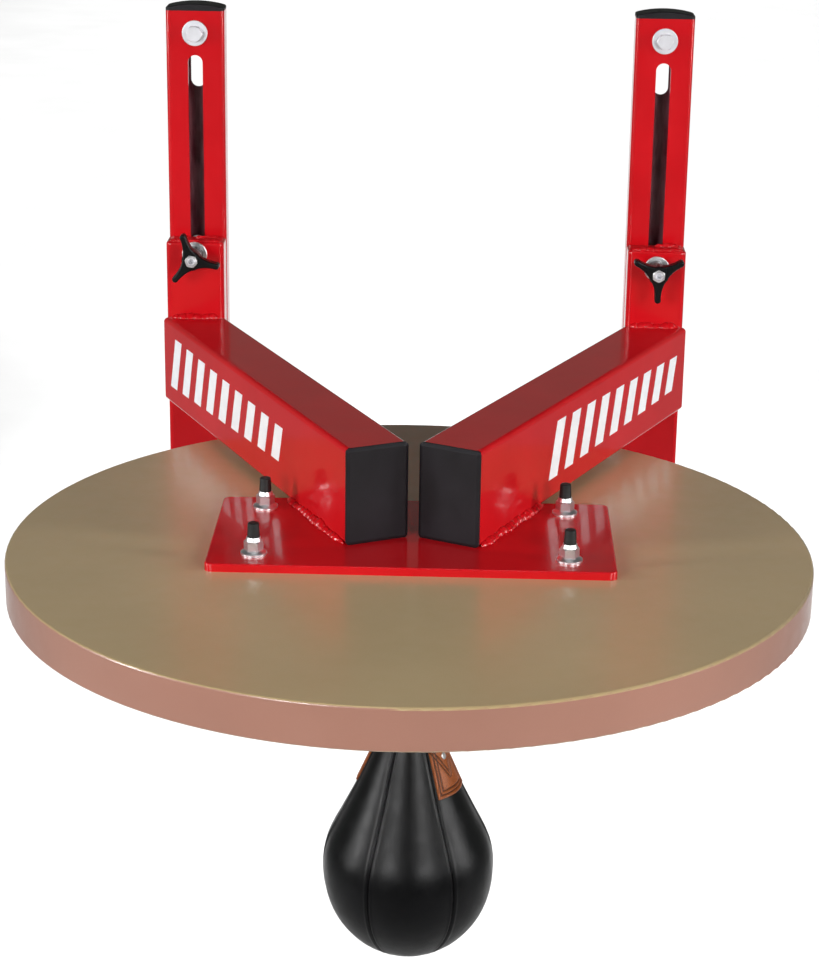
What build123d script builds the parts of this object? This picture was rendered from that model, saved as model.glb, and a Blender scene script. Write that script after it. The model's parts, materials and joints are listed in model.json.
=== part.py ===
from build123d import *
import os
from math import atan2, cos, hypot, radians, sin

os.makedirs("parts", exist_ok=True)

# Frame: +Z up, +X to the right, -Y out of the wall towards the boxer. The wall plane is Y = 0,
# and the origin is the centre of the four lag screws on that plane. All sizes in millimetres.
inch = 25.4

# Driving dimensions: the two uprights on the wall
stud_spacing = 16 * inch
upright_width = 2 * inch
upright_depth = 1 * inch
upright_length = 24 * inch
tube_wall = 2.4
tube_corner = 4.0
lag_inset = 0.75 * inch
lag_radius = 3.97
lag_thread_radius = 3.8
lag_length = 3 * inch
lag_tip = 8.0
lag_head_height = 5.6
lag_hole_radius = 4.5
slot_width = 0.5 * inch
slot_top_inset = 1.5 * inch
slot_length = 285.0
rear_opening_length = 31.0
washer_radius = 11.1
lag_washer_thickness = 1.6
cap_flange = 2.6
cap_dome = 3.4
plug_wall = 1.8
upright_plug = 13.0
arm_plug = 16.0

# Driving dimensions: the sliding frame, the drum and the arms
slide_gap = 0.3
carriage_depth = 1 * inch
carriage_length = 10 * inch
carriage_above_drum = 151.0
end_plate = 3.0
clamp_hole_radius = 4.5
drum_diameter = 24 * inch
drum_thickness = 1.25 * inch
plate_reach = 388.0
drum_reach = 395.6
drum_offset = -2.5
softened_edge = 1.8
drum_top = -44.45
plate_width = 12 * inch
plate_depth = 6 * inch
plate_thickness = 0.25 * inch
plate_corner = 6.0
arm_width = 2 * inch
arm_height = 3 * inch
arm_front_x = 26.4
arm_front_y = 21.6
arm_cap_flange = 3.2
bead_leg = 5.0

# Driving dimensions: hardware of the drum
bolt_spacing_x = 9.25 * inch
bolt_spacing_y = 4.125 * inch
bolt_radius = 3.97
bolt_hole_radius = 4.37
bolt_head_radius = 9.0
bolt_head_height = 4.4
bolt_neck = 8.0
bolt_neck_depth = 5.0
nut_height = 13.5
nut_flats = 0.5 * inch
nut_flange = 1.6
nut_skirt = 2.2
nut_hex_top = 10.6
nut_collar = 3.8
thread_fit = 0.03
thread_cap_height = 11.0
bolt_end_in_cap = 6.0

# Driving dimensions: clamp knobs
knob_above_drum = {"left": 140.5, "right": 135.5}
clamp_head_radius = 10.3
clamp_head_height = 5.0
washer_thickness = 2.0
knob_depth = 27.0
knob_arm_depth = 9.5
knob_reach = 24.6
knob_tip_radius = 2.7
knob_crotch = 7.9
knob_seat_depth = 8.0
knob_insert_flats = 10.2
clamp_end_beyond_knob = 0.6
clamp_socket_flats = 4.4
knob_angles = {"left": -11.0, "right": -90.0}

# Driving dimensions: swivel, hook and bag, as depths under the drum's bottom face
flange_radius = 1.25 * inch
flange_thickness = 4.0
housing_radius = 16.0
housing_depth = 16.0
housing_wall = 2.5
housing_mouth = 7.5
screw_circle = 24.0
screw_radius = 2.2
screw_grip = 15.0
ball_radius = 2.0
ball_circle = 10.0
ball_count = 8
bearing_fit = 0.02
pin_depth = 34.25
pin_radius = 3.0
hook_depth = 72.25
hook_wire = 3.2
clevis_width = 19.0
clevis_depth = 14.0
clevis_ear = 4.0
clip_place = 10.2
bag_top_depth = 96.25
bag_neck_radius = 10.5
bag_shoulder = [(23.4, 128.0), (40.9, 168.0), (58.0, 203.0)]
bag_widest_depth = 238.25
bag_radius = 67.6
bag_belly = (48.6, 291.5)
bag_bottom_depth = 313.25
bag_tilt = 3.5
bag_panels = 6
leather = 2.0
bladder_wall = 1.0
bladder_gap = 0.2
patch_top_depth = 102.0
patch_depth = 167.0
patch_thickness = 1.6
patch_gap = 0.1
patch_side_margin = 2.0
rivet_depth = 138.5
collar_radius = 12.0
collar_height = 5.0
strap_inner = 4.4
strap_outer = 7.2
strap_width = 6.0

# Places that follow from the dimensions above
side_x = {"left": -stud_spacing / 2, "right": stud_spacing / 2}
side_sign = {"left": -1, "right": 1}
lag_z = upright_length / 2 - lag_inset
slot_top = upright_length / 2 - slot_top_inset
drum_bottom = drum_top - drum_thickness
plate_top = drum_top + plate_thickness
carriage_rear = -upright_depth - slide_gap
carriage_front = carriage_rear - carriage_depth
carriage_top = drum_top + carriage_above_drum
carriage_bottom = carriage_top - carriage_length
knob_z = {side: drum_top + above for side, above in knob_above_drum.items()}
washer_rear = carriage_front - 0.05
knob_rear = washer_rear - washer_thickness - 0.1
arm_run_x = stud_spacing / 2 - arm_front_x
arm_run_y = plate_reach + carriage_front + arm_front_y
arm_angle = atan2(arm_run_x, arm_run_y)
arm_length = hypot(arm_run_x, arm_run_y)
arm_z = plate_top + arm_height / 2
pin_z = drum_bottom - pin_depth
hook_z = drum_bottom - hook_depth
bag_top = drum_bottom - bag_top_depth


def save(pieces, name):
    """Write one piece, or one group of identical pieces, as its own file."""
    shape = Compound(children=pieces) if isinstance(pieces, list) else pieces
    shape.label = name
    export_step(shape, f"parts/{name}.step")


def rod_along_y(radius, y_from, y_to, x, z):
    """A round rod along Y between two depths."""
    length = abs(y_to - y_from)
    return Pos(x, (y_from + y_to) / 2, z) * Rot(90, 0, 0) * Cylinder(radius, length)


def rod_down(radius, z_top, z_bottom, x=0.0, y=-drum_reach):
    """A round rod along Z between two heights, on the drum's axis unless placed."""
    return Pos(x, y, (z_top + z_bottom) / 2) * Cylinder(radius, z_top - z_bottom)


def tube_section(width, depth):
    """The wall section of a rectangular steel tube."""
    outer = RectangleRounded(width, depth, tube_corner)
    inner_corner = tube_corner - tube_wall
    inner = RectangleRounded(width - 2 * tube_wall, depth - 2 * tube_wall, inner_corner)
    return outer - inner


def plug(width, depth, length):
    """The hollow tongue of a plastic tube cap, from Z = 0 downwards."""
    clear = 2 * tube_wall + 0.1
    outer = RectangleRounded(width - clear, depth - clear, 1.5)
    inner_width = width - clear - 2 * plug_wall
    inner = RectangleRounded(inner_width, depth - clear - 2 * plug_wall, 1.0)
    return Pos(0, 0, -length) * extrude(outer - inner, length)


def hexagon(flats, height, bore=0.0):
    """A hexagonal prism from Z = 0 upwards, its top corners chamfered like a nut's."""
    prism = extrude(RegularPolygon(flats / 2, 6, major_radius=False), height)
    corner = flats / 2 / cos(radians(30))
    turned = Pos(0, 0, height / 2) * Cylinder(corner, height)
    turned = chamfer(turned.edges().group_by(Axis.Z)[-1], 0.9)
    head = prism & turned
    if bore:
        head -= Pos(0, 0, height / 2) * Cylinder(bore, height + 2)
    return head


# ---- Wall uprights -------------------------------------------------------------------------

def slot_cutter(x, top, length, y_from, y_to):
    """A round-ended vertical slot, cut along Y."""
    plane = Plane(origin=(x, y_from, top - length / 2), x_dir=(1, 0, 0), z_dir=(0, 1, 0))
    outline = SlotOverall(length, slot_width, rotation=90)
    return extrude(plane * outline, y_to - y_from)


def upright(x):
    """A slotted tube: long slot in the front wall, short opening behind its top end."""
    tube = extrude(tube_section(upright_width, upright_depth), upright_length / 2, both=True)
    tube = Pos(x, -upright_depth / 2, 0) * tube
    front = -upright_depth
    tube -= slot_cutter(x, slot_top, slot_length, front - 1, front + upright_depth / 2)
    tube -= slot_cutter(x, slot_top, rear_opening_length, -upright_depth / 2, 1)
    for z in (lag_z, -lag_z):
        tube -= rod_along_y(lag_hole_radius, -upright_depth - 1, 1, x, z)
    return tube


def upright_cap(x):
    """A crowned plastic plug cap that closes the top end of an upright."""
    height = cap_flange + cap_dome
    crown_radius = ((upright_width / 2) ** 2 + cap_dome ** 2) / (2 * cap_dome)
    crown = Rot(90, 0, 0) * Cylinder(crown_radius, 2 * upright_depth)
    block = extrude(RectangleRounded(upright_width, upright_depth, tube_corner), height)
    cap = block & Pos(0, 0, height - crown_radius) * crown
    crown_face = cap.faces().filter_by(GeomType.CYLINDER).sort_by(SortBy.AREA)[-1]
    cap = fillet(crown_face.edges(), 1.2)
    cap += plug(upright_width, upright_depth, upright_plug)
    return Pos(x, -upright_depth / 2, upright_length / 2) * cap


def upright_foot(x):
    """The same cap turned over, in the bottom end of an upright."""
    top = Pos(-x, upright_depth / 2, -upright_length / 2) * upright_cap(x)
    return Pos(x, -upright_depth / 2, -upright_length / 2) * Rot(180, 0, 0) * top


def lag_screw(x, z):
    """A hex lag screw: plain through the upright, threaded behind the wall plane."""
    seat = upright_depth + lag_washer_thickness
    thread_end = lag_length - lag_tip
    head = hexagon(nut_flats, lag_head_height)
    shank = Pos(0, 0, -seat / 2) * Cylinder(lag_radius, seat)
    thread = Pos(0, 0, -(seat + thread_end) / 2) * Cylinder(lag_thread_radius, thread_end - seat)
    point = Rot(180, 0, 0) * Cone(lag_thread_radius, 0.6, lag_tip)
    point = Pos(0, 0, -lag_length + lag_tip / 2) * point
    return Pos(x, -seat, z) * Rot(90, 0, 0) * (head + shank + thread + point)


def lag_washer(x, z):
    """A flat washer between a lag screw's head and the upright."""
    front = -upright_depth
    ring = rod_along_y(washer_radius, front - lag_washer_thickness, front, x, z)
    ring = fillet(ring.edges().filter_by(GeomType.CIRCLE), 0.4)
    return ring - rod_along_y(lag_radius + 0.4, front - 3, front + 1, x, z)


# ---- Sliding frame -------------------------------------------------------------------------

def carriage(x, z):
    """The post in front of an upright; the clamp bolt passes through both of its walls."""
    length = carriage_length - 2 * end_plate
    tube = extrude(tube_section(upright_width, carriage_depth), length / 2, both=True)
    middle = (carriage_top + carriage_bottom) / 2
    tube = Pos(x, carriage_rear - carriage_depth / 2, middle) * tube
    return tube - rod_along_y(clamp_hole_radius, carriage_front - 1, carriage_rear + 1, x, z)


def carriage_ends(x):
    """The two plates that close a carriage post."""
    plates = []
    for z, outside in ((carriage_top - end_plate, -1), (carriage_bottom, 0)):
        plate = extrude(RectangleRounded(upright_width, carriage_depth, tube_corner), end_plate)
        plate = fillet(plate.edges().group_by(Axis.Z)[outside], 2.4)
        plates.append(Pos(x, carriage_rear - carriage_depth / 2, z) * plate)
    return plates


def arm_plane(side, behind):
    """The plane across an arm, this far behind the outer face of its end cap."""
    sign = side_sign[side]
    along = (sign * sin(arm_angle), cos(arm_angle), 0)
    across = (cos(arm_angle), -sign * sin(arm_angle), 0)
    x = sign * arm_front_x + behind * along[0]
    y = -plate_reach - arm_front_y + behind * along[1]
    return Plane(origin=(x, y, arm_z), x_dir=across, z_dir=along)


def arm(side):
    """A rectangular tube from the drum's middle to the carriage, mitred to its face."""
    section = arm_plane(side, arm_cap_flange) * tube_section(arm_width, arm_height)
    tube = extrude(section, arm_length + arm_width)
    beyond = Box(4 * arm_width, 4 * arm_width, 2 * arm_height)
    return tube - Pos(side_x[side], carriage_front + 2 * arm_width, arm_z) * beyond


def arm_cap(side):
    """The plastic plug cap on the front end of an arm, its face edges bevelled."""
    flange = extrude(RectangleRounded(arm_width, arm_height, 3.0), arm_cap_flange)
    flange = chamfer(flange.edges().group_by(Axis.Z)[-1], length=1.3, length2=2.4)
    flange = fillet(flange.edges().group_by(Axis.Z)[-1], 0.8)
    cap = flange + plug(arm_width, arm_height, arm_plug)
    plane = arm_plane(side, arm_cap_flange)
    facing = Plane(origin=plane.origin, x_dir=plane.x_dir, z_dir=-plane.z_dir)
    return facing * cap


def base_plate():
    """The plate that the arms are welded to, bolted on the drum."""
    plate = extrude(RectangleRounded(plate_width, plate_depth, plate_corner), plate_thickness)
    plate = fillet(plate.edges().group_by(Axis.Z)[-1], 1.5)
    for corner in GridLocations(bolt_spacing_x, bolt_spacing_y, 2, 2):
        plate -= corner * Cylinder(bolt_hole_radius, 4 * plate_thickness)
    return Pos(0, -plate_reach, drum_top) * plate


def bead(start, end, outward, up):
    """A triangular weld fillet from one point to another, its legs along outward and up."""
    corner = Vector(start)
    run = Vector(end) - corner
    leg_out = Vector(outward).normalized() * bead_leg
    leg_up = Vector(up).normalized() * bead_leg
    outline = Wire.make_polygon([corner, corner + leg_out, corner + leg_up])
    return extrude(Face(outline), run.length, dir=run)


def arm_beads(side):
    """The fillets of one arm: along both of its sides on the plate, and across the carriage."""
    sign = side_sign[side]
    beads = []
    rear_edge = -plate_reach + plate_depth / 2 - bead_leg
    for across, first in ((sign, 6.0), (-sign, 10.0)):
        front = arm_plane(side, first)
        along = front.z_dir
        out = front.x_dir * across
        start = front.origin + out * (arm_width / 2)
        start = Vector(start.X, start.Y, plate_top)
        run = (rear_edge - start.Y) / along.Y
        end = start + along * run
        beads.append(bead(start, end, out, (0, 0, 1)))
    half = upright_width / 2 - tube_corner
    x = side_x[side]
    for z, up in ((plate_top + arm_height, 1), (plate_top, -1)):
        start = (x - half, carriage_front, z)
        end = (x + half, carriage_front, z)
        beads.append(bead(start, end, (0, -1, 0), (0, 0, up)))
    return beads


# ---- Drum and its bolts --------------------------------------------------------------------

def bolt_places():
    """The four bolts' places on the drum, as X and Y."""
    places = GridLocations(bolt_spacing_x, bolt_spacing_y, 2, 2)
    return [(spot.position.X, spot.position.Y - plate_reach) for spot in places]


def screw_places():
    """The four places of the swivel's screws."""
    places = PolarLocations(screw_circle, 4, start_angle=45)
    return [(spot.position.X, spot.position.Y - drum_reach) for spot in places]


def drum():
    """The round board, bored for the bolts, their square necks and the swivel's screws."""
    board = Cylinder(drum_diameter / 2, drum_thickness)
    board = fillet(board.edges().filter_by(GeomType.CIRCLE), softened_edge)
    board = Pos(drum_offset, -drum_reach, drum_top - drum_thickness / 2) * board
    neck = Box(bolt_neck, bolt_neck, 2 * bolt_neck_depth)
    for x, y in bolt_places():
        board -= rod_down(bolt_hole_radius, drum_top + 1, drum_bottom - 1, x, y)
        board -= Pos(x, y, drum_bottom) * neck
    for x, y in screw_places():
        board -= rod_down(screw_radius, drum_bottom + screw_grip + 1, drum_bottom - 1, x, y)
    return board


def carriage_bolt(x, y):
    """A round-headed bolt, up through the drum and the plate."""
    head = Pos(0, 0, -bolt_head_height / 2) * Cylinder(bolt_head_radius, bolt_head_height)
    head = fillet(head.edges().group_by(Axis.Z)[0], bolt_head_height - 0.6)
    neck = Pos(0, 0, bolt_neck_depth / 2) * Box(bolt_neck, bolt_neck, bolt_neck_depth)
    length = drum_thickness + plate_thickness + nut_height + bolt_end_in_cap
    shank = Pos(0, 0, length / 2) * Cylinder(bolt_radius, length)
    shank = chamfer(shank.edges().group_by(Axis.Z)[-1], 0.8)
    return Pos(x, y, drum_bottom) * (head + neck + shank)


def flange_nut(x, y):
    """A tall flange lock nut on the plate: flange, flared skirt, hexagon and round collar."""
    flange = Pos(0, 0, nut_flange / 2) * Cylinder(9.8, nut_flange)
    skirt = Pos(0, 0, nut_flange + nut_skirt / 2) * Cone(9.4, 6.4, nut_skirt)
    collar = Pos(0, 0, nut_height - nut_collar / 2) * Cone(6.2, 5.2, nut_collar)
    nut = flange + skirt + hexagon(nut_flats, nut_hex_top) + collar
    nut -= Pos(0, 0, nut_height / 2) * Cylinder(bolt_radius + thread_fit, nut_height + 2)
    return Pos(x, y, plate_top) * nut


def thread_cap(x, y):
    """A soft plastic cap pushed over the bolt's end, on top of the nut."""
    cap = Pos(0, 0, thread_cap_height / 2) * Cone(4.8, 4.2, thread_cap_height)
    cap = fillet(cap.edges().group_by(Axis.Z)[-1], 1.2)
    bore_depth = bolt_end_in_cap + 0.5
    cap -= Pos(0, 0, bore_depth / 2) * Cylinder(bolt_radius + thread_fit, bore_depth)
    return Pos(x, y, plate_top + nut_height) * cap


# ---- Clamps --------------------------------------------------------------------------------

def clamp_bolt(x, z):
    """A bolt with its head inside the upright, out through the slot and the carriage."""
    inside = -upright_depth + tube_wall + 0.3
    head = rod_along_y(clamp_head_radius, inside, inside + clamp_head_height, x, z)
    head = fillet(head.edges().group_by(Axis.Y)[-1], 3.0)
    end = knob_rear - knob_depth - clamp_end_beyond_knob
    shank = rod_along_y(bolt_radius, end, inside, x, z)
    shank = chamfer(shank.edges().group_by(Axis.Y)[0], 0.6)
    socket = extrude(RegularPolygon(clamp_socket_flats / 2, 6, major_radius=False), 5)
    socket = Pos(x, end, z) * Rot(-90, 0, 0) * socket
    return head + shank - socket


def clamp_washer(x, z):
    """The loose washer between a knob and its carriage."""
    ring = rod_along_y(washer_radius, washer_rear - washer_thickness, washer_rear, x, z)
    ring = fillet(ring.edges().filter_by(GeomType.CIRCLE), 0.7)
    return ring - rod_along_y(bolt_radius + 0.25, washer_rear - 5, washer_rear + 1, x, z)


def knob_outline():
    """Three arms with round tips, joined by hollow curves."""
    tip_centre = knob_reach - knob_tip_radius
    edges = []
    for angle in (0, 120, 240):
        tip = Rot(0, 0, angle) * Pos(tip_centre, 0)
        right = (tip * Pos(0, -knob_tip_radius)).position
        outer = (tip * Pos(knob_tip_radius, 0)).position
        left = (tip * Pos(0, knob_tip_radius)).position
        middle = (Rot(0, 0, angle + 60) * Pos(knob_crotch, 0)).position
        following = (Rot(0, 0, angle + 120) * Pos(tip_centre, -knob_tip_radius)).position
        edges.append(ThreePointArc(right, outer, left))
        edges.append(ThreePointArc(left, middle, following))
    return make_face(edges)


def to_knob(x, z, angle):
    """From a knob's own frame, its face towards +Z, to its place in front of the carriage."""
    return Pos(x, knob_rear, z) * Rot(90, 0, 0) * Rot(0, 0, angle)


def knob(x, z, angle):
    """A three-arm plastic knob with a long hub behind its arms."""
    arms = extrude(Pos(0, 0, knob_depth - knob_arm_depth) * knob_outline(), knob_arm_depth)
    arms = fillet(arms.edges().group_by(Axis.Z)[-1] + arms.edges().group_by(Axis.Z)[0], 1.4)
    hub = Pos(0, 0, knob_depth / 2 - 1) * Cone(7.6, 8.6, knob_depth - 2)
    body = arms + hub
    seat = extrude(RegularPolygon(knob_insert_flats / 2, 6, major_radius=False), knob_depth)
    body -= Pos(0, 0, knob_depth - knob_seat_depth) * seat
    body -= Pos(0, 0, knob_depth / 2) * Cylinder(bolt_radius + 0.3, knob_depth + 2)
    return to_knob(x, z, angle) * body


def knob_insert(x, z, angle):
    """The threaded steel nut moulded in a knob's face."""
    nut = hexagon(knob_insert_flats, knob_seat_depth + 0.4, bolt_radius + 0.05)
    return to_knob(x, z, angle) * Pos(0, 0, knob_depth - knob_seat_depth) * nut


# ---- Swivel and hook -----------------------------------------------------------------------

lip_top = drum_bottom - housing_depth + housing_wall
ball_z = lip_top + ball_radius + bearing_fit
head_bottom = ball_z + ball_radius + bearing_fit


def swivel_flange():
    """The screwed-on flange and the cup that holds the ball ring, open to the drum above."""
    plate = rod_down(flange_radius, drum_bottom, drum_bottom - flange_thickness)
    plate = fillet(plate.edges().group_by(Axis.Z)[0], 1.5)
    cup = rod_down(housing_radius, drum_bottom, drum_bottom - housing_depth)
    cup = fillet(cup.edges().group_by(Axis.Z)[0], 1.5)
    body = plate + cup
    body -= rod_down(housing_radius - housing_wall, drum_bottom + 1, lip_top)
    body -= rod_down(housing_mouth, lip_top + 1, drum_bottom - housing_depth - 1)
    for x, y in screw_places():
        body -= rod_down(2.3, drum_bottom + 1, drum_bottom - flange_thickness - 1, x, y)
    return body


def swivel_screw(x, y):
    """A pan-head screw up into the drum."""
    under = drum_bottom - flange_thickness
    head = rod_down(4.2, under, under - 2.6, x, y)
    head = fillet(head.edges().group_by(Axis.Z)[0], 1.2)
    shank = rod_down(screw_radius, drum_bottom + screw_grip, under, x, y)
    slot = Pos(x, y, under - 2.6) * Box(9, 1.0, 1.6)
    return head + shank - slot


def swivel_balls():
    """The ring of balls that carries the kingpin's head."""
    ring = PolarLocations(ball_circle, ball_count)
    return [Pos(0, -drum_reach, ball_z) * spot * Sphere(ball_radius) for spot in ring]


def ball_cage():
    """The thin ring that keeps the balls apart."""
    cage = rod_down(13.0, ball_z + 0.7, ball_z - 0.7) - rod_down(7.8, ball_z + 1, ball_z - 1)
    for spot in PolarLocations(ball_circle, ball_count):
        cage -= Pos(0, -drum_reach, ball_z) * spot * Cylinder(ball_radius + 0.05, 4)
    return cage


def kingpin():
    """The spinning pin: a head on the balls, a stem through the lip and a clevis below."""
    bridge = 4.5
    bridge_top = drum_bottom - housing_depth - 2.5
    bridge_bottom = bridge_top - bridge
    ear_x = (clevis_width - clevis_ear) / 2
    head = rod_down(12.8, head_bottom + 3.2, head_bottom)
    stem = rod_down(6.0, head_bottom + 1, bridge_top)
    fork = Box(clevis_width, clevis_depth, bridge)
    fork = Pos(0, -drum_reach, (bridge_top + bridge_bottom) / 2) * fork
    fork = chamfer(fork.edges().group_by(Axis.Z)[-1], 1.5)
    for sign in (-1, 1):
        ear = Box(clevis_ear, clevis_depth, bridge_bottom - pin_z)
        round_end = Rot(0, 90, 0) * Cylinder(clevis_depth / 2, clevis_ear)
        fork += Pos(sign * ear_x, -drum_reach, (bridge_bottom + pin_z) / 2) * ear
        fork += Pos(sign * ear_x, -drum_reach, pin_z) * round_end
    bore = Cylinder(pin_radius + 0.03, 2 * clevis_width)
    fork -= Pos(0, -drum_reach, pin_z) * Rot(0, 90, 0) * bore
    return head + stem + fork


def cross_pin():
    """The clevis pin, with its head on one side and a groove for the clip on the other."""
    shank = Pos(0.5, 0, 0) * Rot(0, 90, 0) * Cylinder(pin_radius, 25)
    head = Pos(-10.6, 0, 0) * Rot(0, 90, 0) * Cylinder(4.6, 2)
    groove = Rot(0, 90, 0) * (Cylinder(5, 0.9) - Cylinder(pin_radius - 0.5, 0.9))
    pin = shank + head - Pos(clip_place, 0, 0) * groove
    return Pos(0, -drum_reach, pin_z) * pin


def pin_clip():
    """The snap ring in the cross pin's groove."""
    ring = Cylinder(5.4, 0.8) - Cylinder(pin_radius - 0.45, 0.8)
    ring -= Pos(5, 0, 0) * Box(10, 3.6, 2)
    return Pos(clip_place, -drum_reach, pin_z) * Rot(0, 90, 0) * ring


def hook():
    """An eye on the cross pin and a J-shaped wire below it."""
    bend = 10.9
    low = hook_z - pin_z
    eye = Rot(0, 90, 0) * Cylinder(7.0, 10.0)
    points = [(0, 0, -4), (0, 11, -17), (0, 11, low), (0, -11, low), (0, -11, low + 17)]
    path = FilletPolyline(*points, radius=[5.0, bend, bend])
    wire = sweep(Plane(path @ 0, z_dir=path % 0) * Circle(hook_wire), path=path)
    tip = Pos(path @ 1) * Sphere(hook_wire)
    body = eye + wire + tip
    body -= Rot(0, 90, 0) * Cylinder(pin_radius + 0.05, 30)
    return Pos(0, -drum_reach, pin_z) * body


# ---- Bag -----------------------------------------------------------------------------------

def bag_solid(inset):
    """The teardrop, its surface moved in by this much; on the drum's axis."""
    bottom = drum_bottom - bag_bottom_depth + inset
    top = bag_top - inset
    neck = (bag_neck_radius - inset, 0, top)
    shoulder = [(radius - inset, 0, drum_bottom - depth) for radius, depth in bag_shoulder]
    side = (bag_radius - inset, 0, drum_bottom - bag_widest_depth)
    belly_radius, belly_depth = bag_belly
    belly = (belly_radius - 0.75 * inset, 0, drum_bottom - belly_depth + 0.7 * inset)
    upper = Spline(neck, *shoulder, side, tangents=[(0.3, 0, -1), (0, 0, -1)])
    lower = Spline(side, belly, (0, 0, bottom), tangents=[(0, 0, -1), (-1, 0, 0)])
    closing = Polyline((0, 0, bottom), (0, 0, top), neck)
    half = make_face([upper, lower] + closing.edges())
    return Pos(0, -drum_reach, 0) * revolve(half, Axis.Z)


def sector(middle, width, z_top, z_bottom):
    """A wedge of space round the bag's axis, its middle this angle from the front."""
    radius = 2 * bag_radius
    edge = radius * sin(radians(width / 2))
    reach = radius * cos(radians(width / 2))
    outline = make_face(Polyline((0, 0), (edge, -reach), (-edge, -reach), close=True))
    wedge = extrude(outline, z_top - z_bottom)
    return Pos(0, -drum_reach, z_bottom) * Rot(0, 0, middle) * wedge


def patch_angles():
    """The two panels with a patch, as angles from the front, positive to the right."""
    first = bag_tilt + 360 / bag_panels
    return [first, first + 180]


def bag_patch(angle):
    """A leather tab over one panel, from the collar down past the hanger's rivet."""
    layer = bag_solid(-patch_gap - patch_thickness) - bag_solid(-patch_gap)
    width = 360 / bag_panels - 2 * patch_side_margin
    return layer & sector(angle, width, drum_bottom - patch_top_depth, drum_bottom - patch_depth)


def bag_rivet(angle):
    """A domed rivet through a patch."""
    seat_radius = 27.75 + patch_thickness + 0.4
    head = Cylinder(2.9, 1.6)
    head = fillet(head.edges().group_by(Axis.Z)[-1], 0.9)
    place = Pos(0, -drum_reach, drum_bottom - rivet_depth) * Rot(0, 0, angle)
    return place * Pos(0, -seat_radius, 0) * Rot(66, 0, 0) * head


def bag_collar():
    """The leather washer on top of the bag."""
    ring = rod_down(collar_radius, bag_top + collar_height, bag_top)
    return fillet(ring.edges().filter_by(GeomType.CIRCLE), 1.2)


def bag_loop():
    """The strap that hangs over the hook's wire, down to the collar."""
    drop = hook_z - (bag_top + collar_height)
    bow = Circle(strap_outer) - Circle(strap_inner)
    sides = Rectangle(2 * strap_outer, drop) - Rectangle(2 * strap_inner, drop)
    upper_half = bow & Pos(0, strap_outer) * Rectangle(4 * strap_outer, 2 * strap_outer)
    rear = -drum_reach - strap_width / 2
    plane = Plane(origin=(0, rear, hook_z), x_dir=(-1, 0, 0), z_dir=(0, 1, 0))
    return extrude(plane * (upper_half + Pos(0, -drop / 2) * sides), strap_width)


# ---- Write every piece ---------------------------------------------------------------------

lags = [(x, z) for x in side_x.values() for z in (lag_z, -lag_z)]
save([lag_screw(x, z) for x, z in lags], "lag_screws")
save([lag_washer(x, z) for x, z in lags], "lag_washers")
for name, x in side_x.items():
    z = knob_z[name]
    turn = knob_angles[name]
    save(upright(x), f"{name}_upright")
    save(upright_cap(x), f"{name}_upright_cap")
    save(upright_foot(x), f"{name}_upright_foot")
    save(carriage(x, z), f"{name}_carriage")
    save(carriage_ends(x), f"{name}_carriage_ends")
    save(arm(name), f"{name}_arm")
    save(arm_cap(name), f"{name}_arm_cap")
    save(arm_beads(name), f"{name}_weld_beads")
    save(clamp_bolt(x, z), f"{name}_clamp_bolt")
    save(clamp_washer(x, z), f"{name}_clamp_washer")
    save(knob(x, z, turn), f"{name}_knob")
    save(knob_insert(x, z, turn), f"{name}_knob_insert")

save(base_plate(), "base_plate")
save(drum(), "drum")
save([carriage_bolt(x, y) for x, y in bolt_places()], "drum_bolts")
save([flange_nut(x, y) for x, y in bolt_places()], "flange_nuts")
save([thread_cap(x, y) for x, y in bolt_places()], "thread_caps")

save(swivel_flange(), "swivel_flange")
save([swivel_screw(x, y) for x, y in screw_places()], "swivel_screws")
save(swivel_balls(), "swivel_balls")
save(ball_cage(), "swivel_ball_cage")
save(kingpin(), "swivel_kingpin")
save(cross_pin(), "swivel_cross_pin")
save(pin_clip(), "swivel_pin_clip")
save(hook(), "bag_hook")

save(bag_solid(0) - bag_solid(leather), "bag_cover")
bladder_inset = leather + bladder_gap
save(bag_solid(bladder_inset) - bag_solid(bladder_inset + bladder_wall), "bag_bladder")
save([bag_patch(angle) for angle in patch_angles()], "bag_patches")
save([bag_rivet(angle) for angle in patch_angles()], "bag_rivets")
save(bag_collar(), "bag_collar")
save(bag_loop(), "bag_loop")
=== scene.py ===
import json
import math
import random

import bpy
from mathutils import Matrix, Vector


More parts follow.
